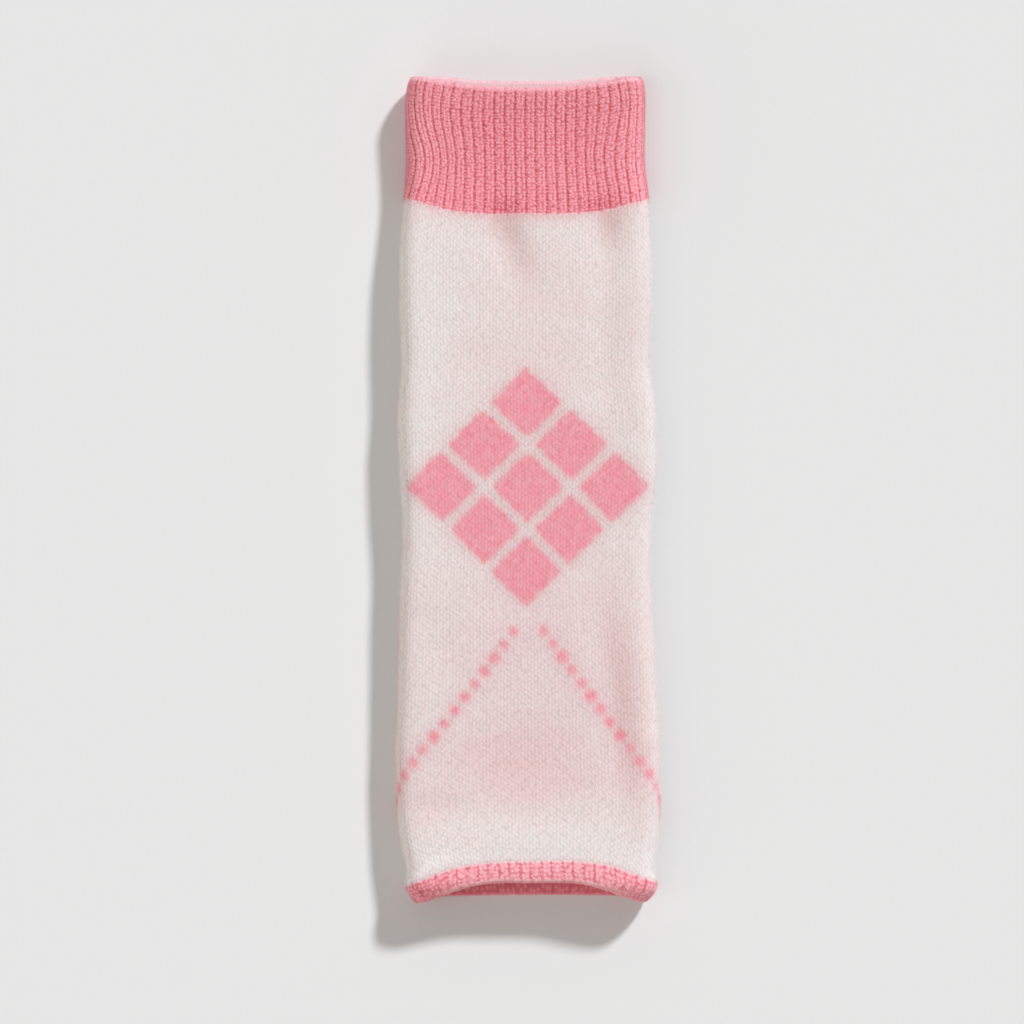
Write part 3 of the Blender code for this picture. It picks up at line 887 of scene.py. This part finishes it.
def rib_wall(name, first, last, wall, course, depth_of_ribs, bulge, rims, style, yarn, bows, seam_at, seed):
    """A ribbed tube wall between two courses, beaded outside, plain inside. seam_at: its share at the leg."""
    length = first.front_side - last.front_side
    count, (upper_rim, lower_rim) = round(length / course), rims
    outer = np.linspace(0, 1, RIB_ROWS_EACH * count + 1)
    share, step, depth = wall_rows(outer, np.linspace(1, 0, RIB_INSIDE_ROWS), upper_rim, lower_rim, wall)
    columns = RIB_COUNT * RIB_POINTS
    phase, share = np.meshgrid(np.arange(columns) / RIB_POINTS, share)
    step, depth, turns = step[:, None], depth[:, None], phase * 360.0 / RIB_COUNT
    y = course_at(first, turns) * (1 - share) + course_at(last, turns) * share + step
    raised, bead = rib_relief(phase, share * count, style, seed)
    outside = np.broadcast_to(np.clip(1 - depth / wall, 0, 1), share.shape)
    from_seam = np.abs(share - seam_at) * length
    from_edge = np.where(np.abs(step) > 0, 0, length - from_seam) + INSIDE_AWAY * (depth == wall)
    fade = np.clip(from_seam / RIB_FADE, 0, 1)
    rough = ROUGHNESS * np.random.default_rng(seed + 2).standard_normal(share.shape)
    relief = fade * (depth_of_ribs * (1 - raised) - style.bead_height * bead)
    relief = relief - bulge * np.sin(np.pi * share) + rough
    points = cloth(bowed(turns, y, bows, CUFF_GIRTH), y, depth + outside * relief)
    u, v = np.meshgrid(np.arange(columns + 1) / RIB_POINTS, np.arange(len(share) + 1) / RIB_ROWS_EACH)
    uv = np.stack([u, v], -1) * style.loops
    patch = ovals(yarn.patches, points[..., 0], points[..., 1])
    colour = rib_colours(raised, bead, turns, patch, outside, from_seam, from_edge, style, yarn, seed + 1)
    thing = knit_mesh(name, points, uv, at_corners(colour))
    thing.data.materials.append(PINK_COTTON)
    return thing


def seam_rim(wall):
    """The end that meets the leg, which slips in under it."""
    return [(0.5, 0.12), (0.8, 0.5), (0.8, wall)]


# %% Knit the cuff
CUFF_WALL = 2.2
CUFF = rib_wall(
    "cuff_knit",
    first=moved(CUFF_END, -CUFF_WALL / 2),
    last=CUFF_SEAM,
    wall=CUFF_WALL,
    course=1.3,
    depth_of_ribs=0.34,
    bulge=0.0,
    rims=(round_rim(CUFF_WALL, RIM_ROWS), seam_rim(CUFF_WALL)),
    style=CUFF_STYLE,
    yarn=CUFF_YARN,
    bows=CUFF_BOWS,
    seam_at=1.0,
    seed=11,
)
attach(CUFF, "root")
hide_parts("cuff")

# %% [markdown]
# ## The hem
# The hem is the same rib, only a few courses deep, and its lower edge is bound off with a paler thread that
# shows as a narrow beige line along the front. It stands a little proud of the leg, and behind it the open
# mouth shows the deep pink of the inside.

# %% Knit the hem
HEM_WALL = 2.4
HEM_PATCHES = (
    # painted shade at the hem's left end
    Oval(across=-37.0, along=-146.0, length=9.0, width=10.0, amount=0.45),
    Oval(across=36.0, along=-146.0, length=9.0, width=9.0, amount=-0.06),
)
HEM_YARN = RibYarn(
    cord="#FDB6BE",
    groove="#DE707D",
    inside="#F4828D",
    inside_shows=0.9,
    edge="#EABBB8",
    back_edge="#EE8A95",
    # painted shade on the hem's side folds
    fold=0.3,
    patches=HEM_PATCHES,
)
HEM_BOWS = (
    Oval(across=-38.0, along=-148.0, length=6.0, width=12.0, amount=2.2),
    Oval(across=39.0, along=-147.0, length=6.0, width=12.0, amount=-2.2),
)
HEM = rib_wall(
    "hem_knit",
    first=HEM_SEAM,
    last=moved(HEM_END, HEM_WALL / 2),
    wall=HEM_WALL,
    course=1.45,
    depth_of_ribs=0.15,
    bulge=0.5,
    rims=(seam_rim(HEM_WALL), round_rim(HEM_WALL, RIM_ROWS)),
    style=HEM_STYLE,
    yarn=HEM_YARN,
    bows=HEM_BOWS,
    seam_at=0.0,
    seed=12,
)
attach(HEM, "root")
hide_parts("hem")

# %% [markdown]
# ## The nap
# Spun cotton has loose ends: fibres under a millimetre long that stand off the knitting in all directions.
# On the flat they hardly show, but along the outline they soften every edge. Each fibre is a closed spike
# on a three-sided foot that is sunk in the yarn. They stand thinly on the flat, thicker round the side
# folds, where wear has raised them, and along the open edges, where they point out of the tube.

# %% Fibres
NAP_FOOT = 0.08  # mm, radius of a fibre's foot
NAP_LENGTH = (0.35, 0.95)  # mm
NAP_LEAN = 0.55  # how far chance turns a fibre from square to the cloth
FOLD_SPREAD = 4.5  # degrees of turn round each side fold
RIM_DEPTHS = (0.3, 1.9)  # mm into the wall, where the fibres of an open edge stand
CLEAR_OF_PAPER = 0.5  # mm
Nap = namedtuple("Nap", "even each_fold edge sunk")  # how many, and how far their feet are sunk
LEG_FIBRES = Nap(even=9000, each_fold=10000, edge=0, sunk=0.15)
CUFF_FIBRES = Nap(even=3000, each_fold=5000, edge=3000, sunk=0.6)
HEM_FIBRES = Nap(even=900, each_fold=1200, edge=3000, sunk=0.5)


def plain_yarn(tree, colour, height, showing):
    """A fibre's own colour and height, as they are."""
    return colour, height


COTTON_FIBRE = cotton("loose_cotton_fibre", fuzz=0.0, stitches=plain_yarn)


def unit(vectors):
    """The vectors at length 1."""
    return vectors / np.linalg.norm(vectors, axis=-1, keepdims=True)


def fibre_mesh(name, foot, aim, reach, colour, lean):
    """Closed spikes: three foot points on a circle square to the aim, and a tip; four faces each."""
    side = unit(np.cross(aim, lean))
    other = np.cross(aim, side)
    ring = [foot + NAP_FOOT * (side * np.cos(t) + other * np.sin(t)) for t in np.radians((0, 120, 240))]
    tip = foot + aim * reach[:, None]
    points = np.stack([*ring, tip], 1).reshape(-1, 3)
    faces = np.array([(0, 2, 1), (0, 1, 3), (1, 2, 3), (2, 0, 3)]) + 4 * np.arange(len(foot))[:, None, None]
    mesh = bpy.data.meshes.new(name)
    mesh.from_pydata((points * MM).tolist(), [], faces.reshape(-1, 3).tolist())
    tint = mesh.color_attributes.new(name="yarn", type="FLOAT_COLOR", domain="CORNER")
    rgba = np.concatenate([colour, np.ones((len(foot), 1))], 1)
    tint.data.foreach_set("color", np.repeat(rgba, 12, axis=0).astype(np.float32).ravel())
    mesh.materials.append(COTTON_FIBRE)
    thing = bpy.data.objects.new(name, mesh)
    bpy.context.scene.collection.objects.link(thing)
    print(f"{name}: {len(foot)} fibres")
    return thing


def raise_nap(name, first, last, counts, outwards, colour_at, seed):
    """Fibres between two courses, and at the open edge: the first course, which faces outwards along Y."""
    random = np.random.default_rng(seed)
    folds = [fold + FOLD_SPREAD * random.standard_normal(counts.each_fold) for fold in (90.0, 270.0)]
    turns = np.concatenate([random.uniform(0, 360, counts.even), *folds, random.uniform(0, 360, counts.edge)])
    share = random.uniform(0, 1, len(turns))
    at_edge = np.arange(len(turns)) >= len(turns) - counts.edge
    share[at_edge] = 0.0
    y = course_at(first, turns) * (1 - share) + course_at(last, turns) * share
    depth = np.where(at_edge, random.uniform(*RIM_DEPTHS, len(turns)), counts.sunk)
    foot, above = cloth(turns, y, depth), cloth(turns, y, depth - 0.5)
    free = (foot[:, 2] > CLEAR_OF_PAPER) & (above[:, 2] > CLEAR_OF_PAPER)
    lean = random.standard_normal(foot.shape)
    out = np.where(at_edge[:, None], (0.0, outwards, 0.0), unit(above - foot + 1e-9))
    aim = unit(out + NAP_LEAN * lean)
    reach = random.uniform(*NAP_LENGTH, len(turns)) + np.where(at_edge, 0.0, counts.sunk)
    colour = colour_at(turns, share)
    return fibre_mesh(name, foot[free], aim[free], reach[free], colour[free], lean[free])


def leg_fibre_colour(turns, share):
    """The colour of the stitch that a fibre stands on."""
    row = np.minimum((share * LEG_COURSES).astype(int), LEG_COURSES - 1)
    return STITCH_COLOURS[row, (np.mod(turns, 360.0) / 360.0 * LEG_WALES).astype(int) % LEG_WALES]


def rib_fibre_colour(turns, share):
    """Between the colours of cord and groove."""
    return mixed(linear(CUFF_YARN.cord), linear(CUFF_YARN.groove), np.full(turns.shape, 0.35))


CUFF_TOP, HEM_FOOT = moved(CUFF_END, -0.4), moved(HEM_END, 0.4)
LEG_NAP = raise_nap("leg_nap", CUFF_SEAM, HEM_SEAM, LEG_FIBRES, 1.0, leg_fibre_colour, 21)
CUFF_NAP = raise_nap("cuff_nap", CUFF_TOP, CUFF_SEAM, CUFF_FIBRES, 1.0, rib_fibre_colour, 22)
HEM_NAP = raise_nap("hem_nap", HEM_FOOT, HEM_SEAM, HEM_FIBRES, -1.0, rib_fibre_colour, 23)
for fibres, slot in ((LEG_NAP, "pale_knit"), (CUFF_NAP, "pink_rib"), (HEM_NAP, "pink_rib")):
    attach(fibres, "root")

# %% [markdown]
# ## The cloth's real size
# Knitting hardly changes its size when it is laid down. Each stretch's flat size, its girth all round by
# its length, is printed below.

SHEETS = (
    (LEG, LEG_GIRTH, LEG_COURSES * LEG_COURSE),
    (CUFF, CUFF_GIRTH, CUFF_END.front_side - CUFF_SEAM.front_side),
    (HEM, HEM_GIRTH, HEM_SEAM.front_side - HEM_END.front_side + HEM_WALL / 2),
)
for piece, girth, length in SHEETS:
    print(f"{piece.name}: flat {girth:.0f} x {length:.0f} mm")
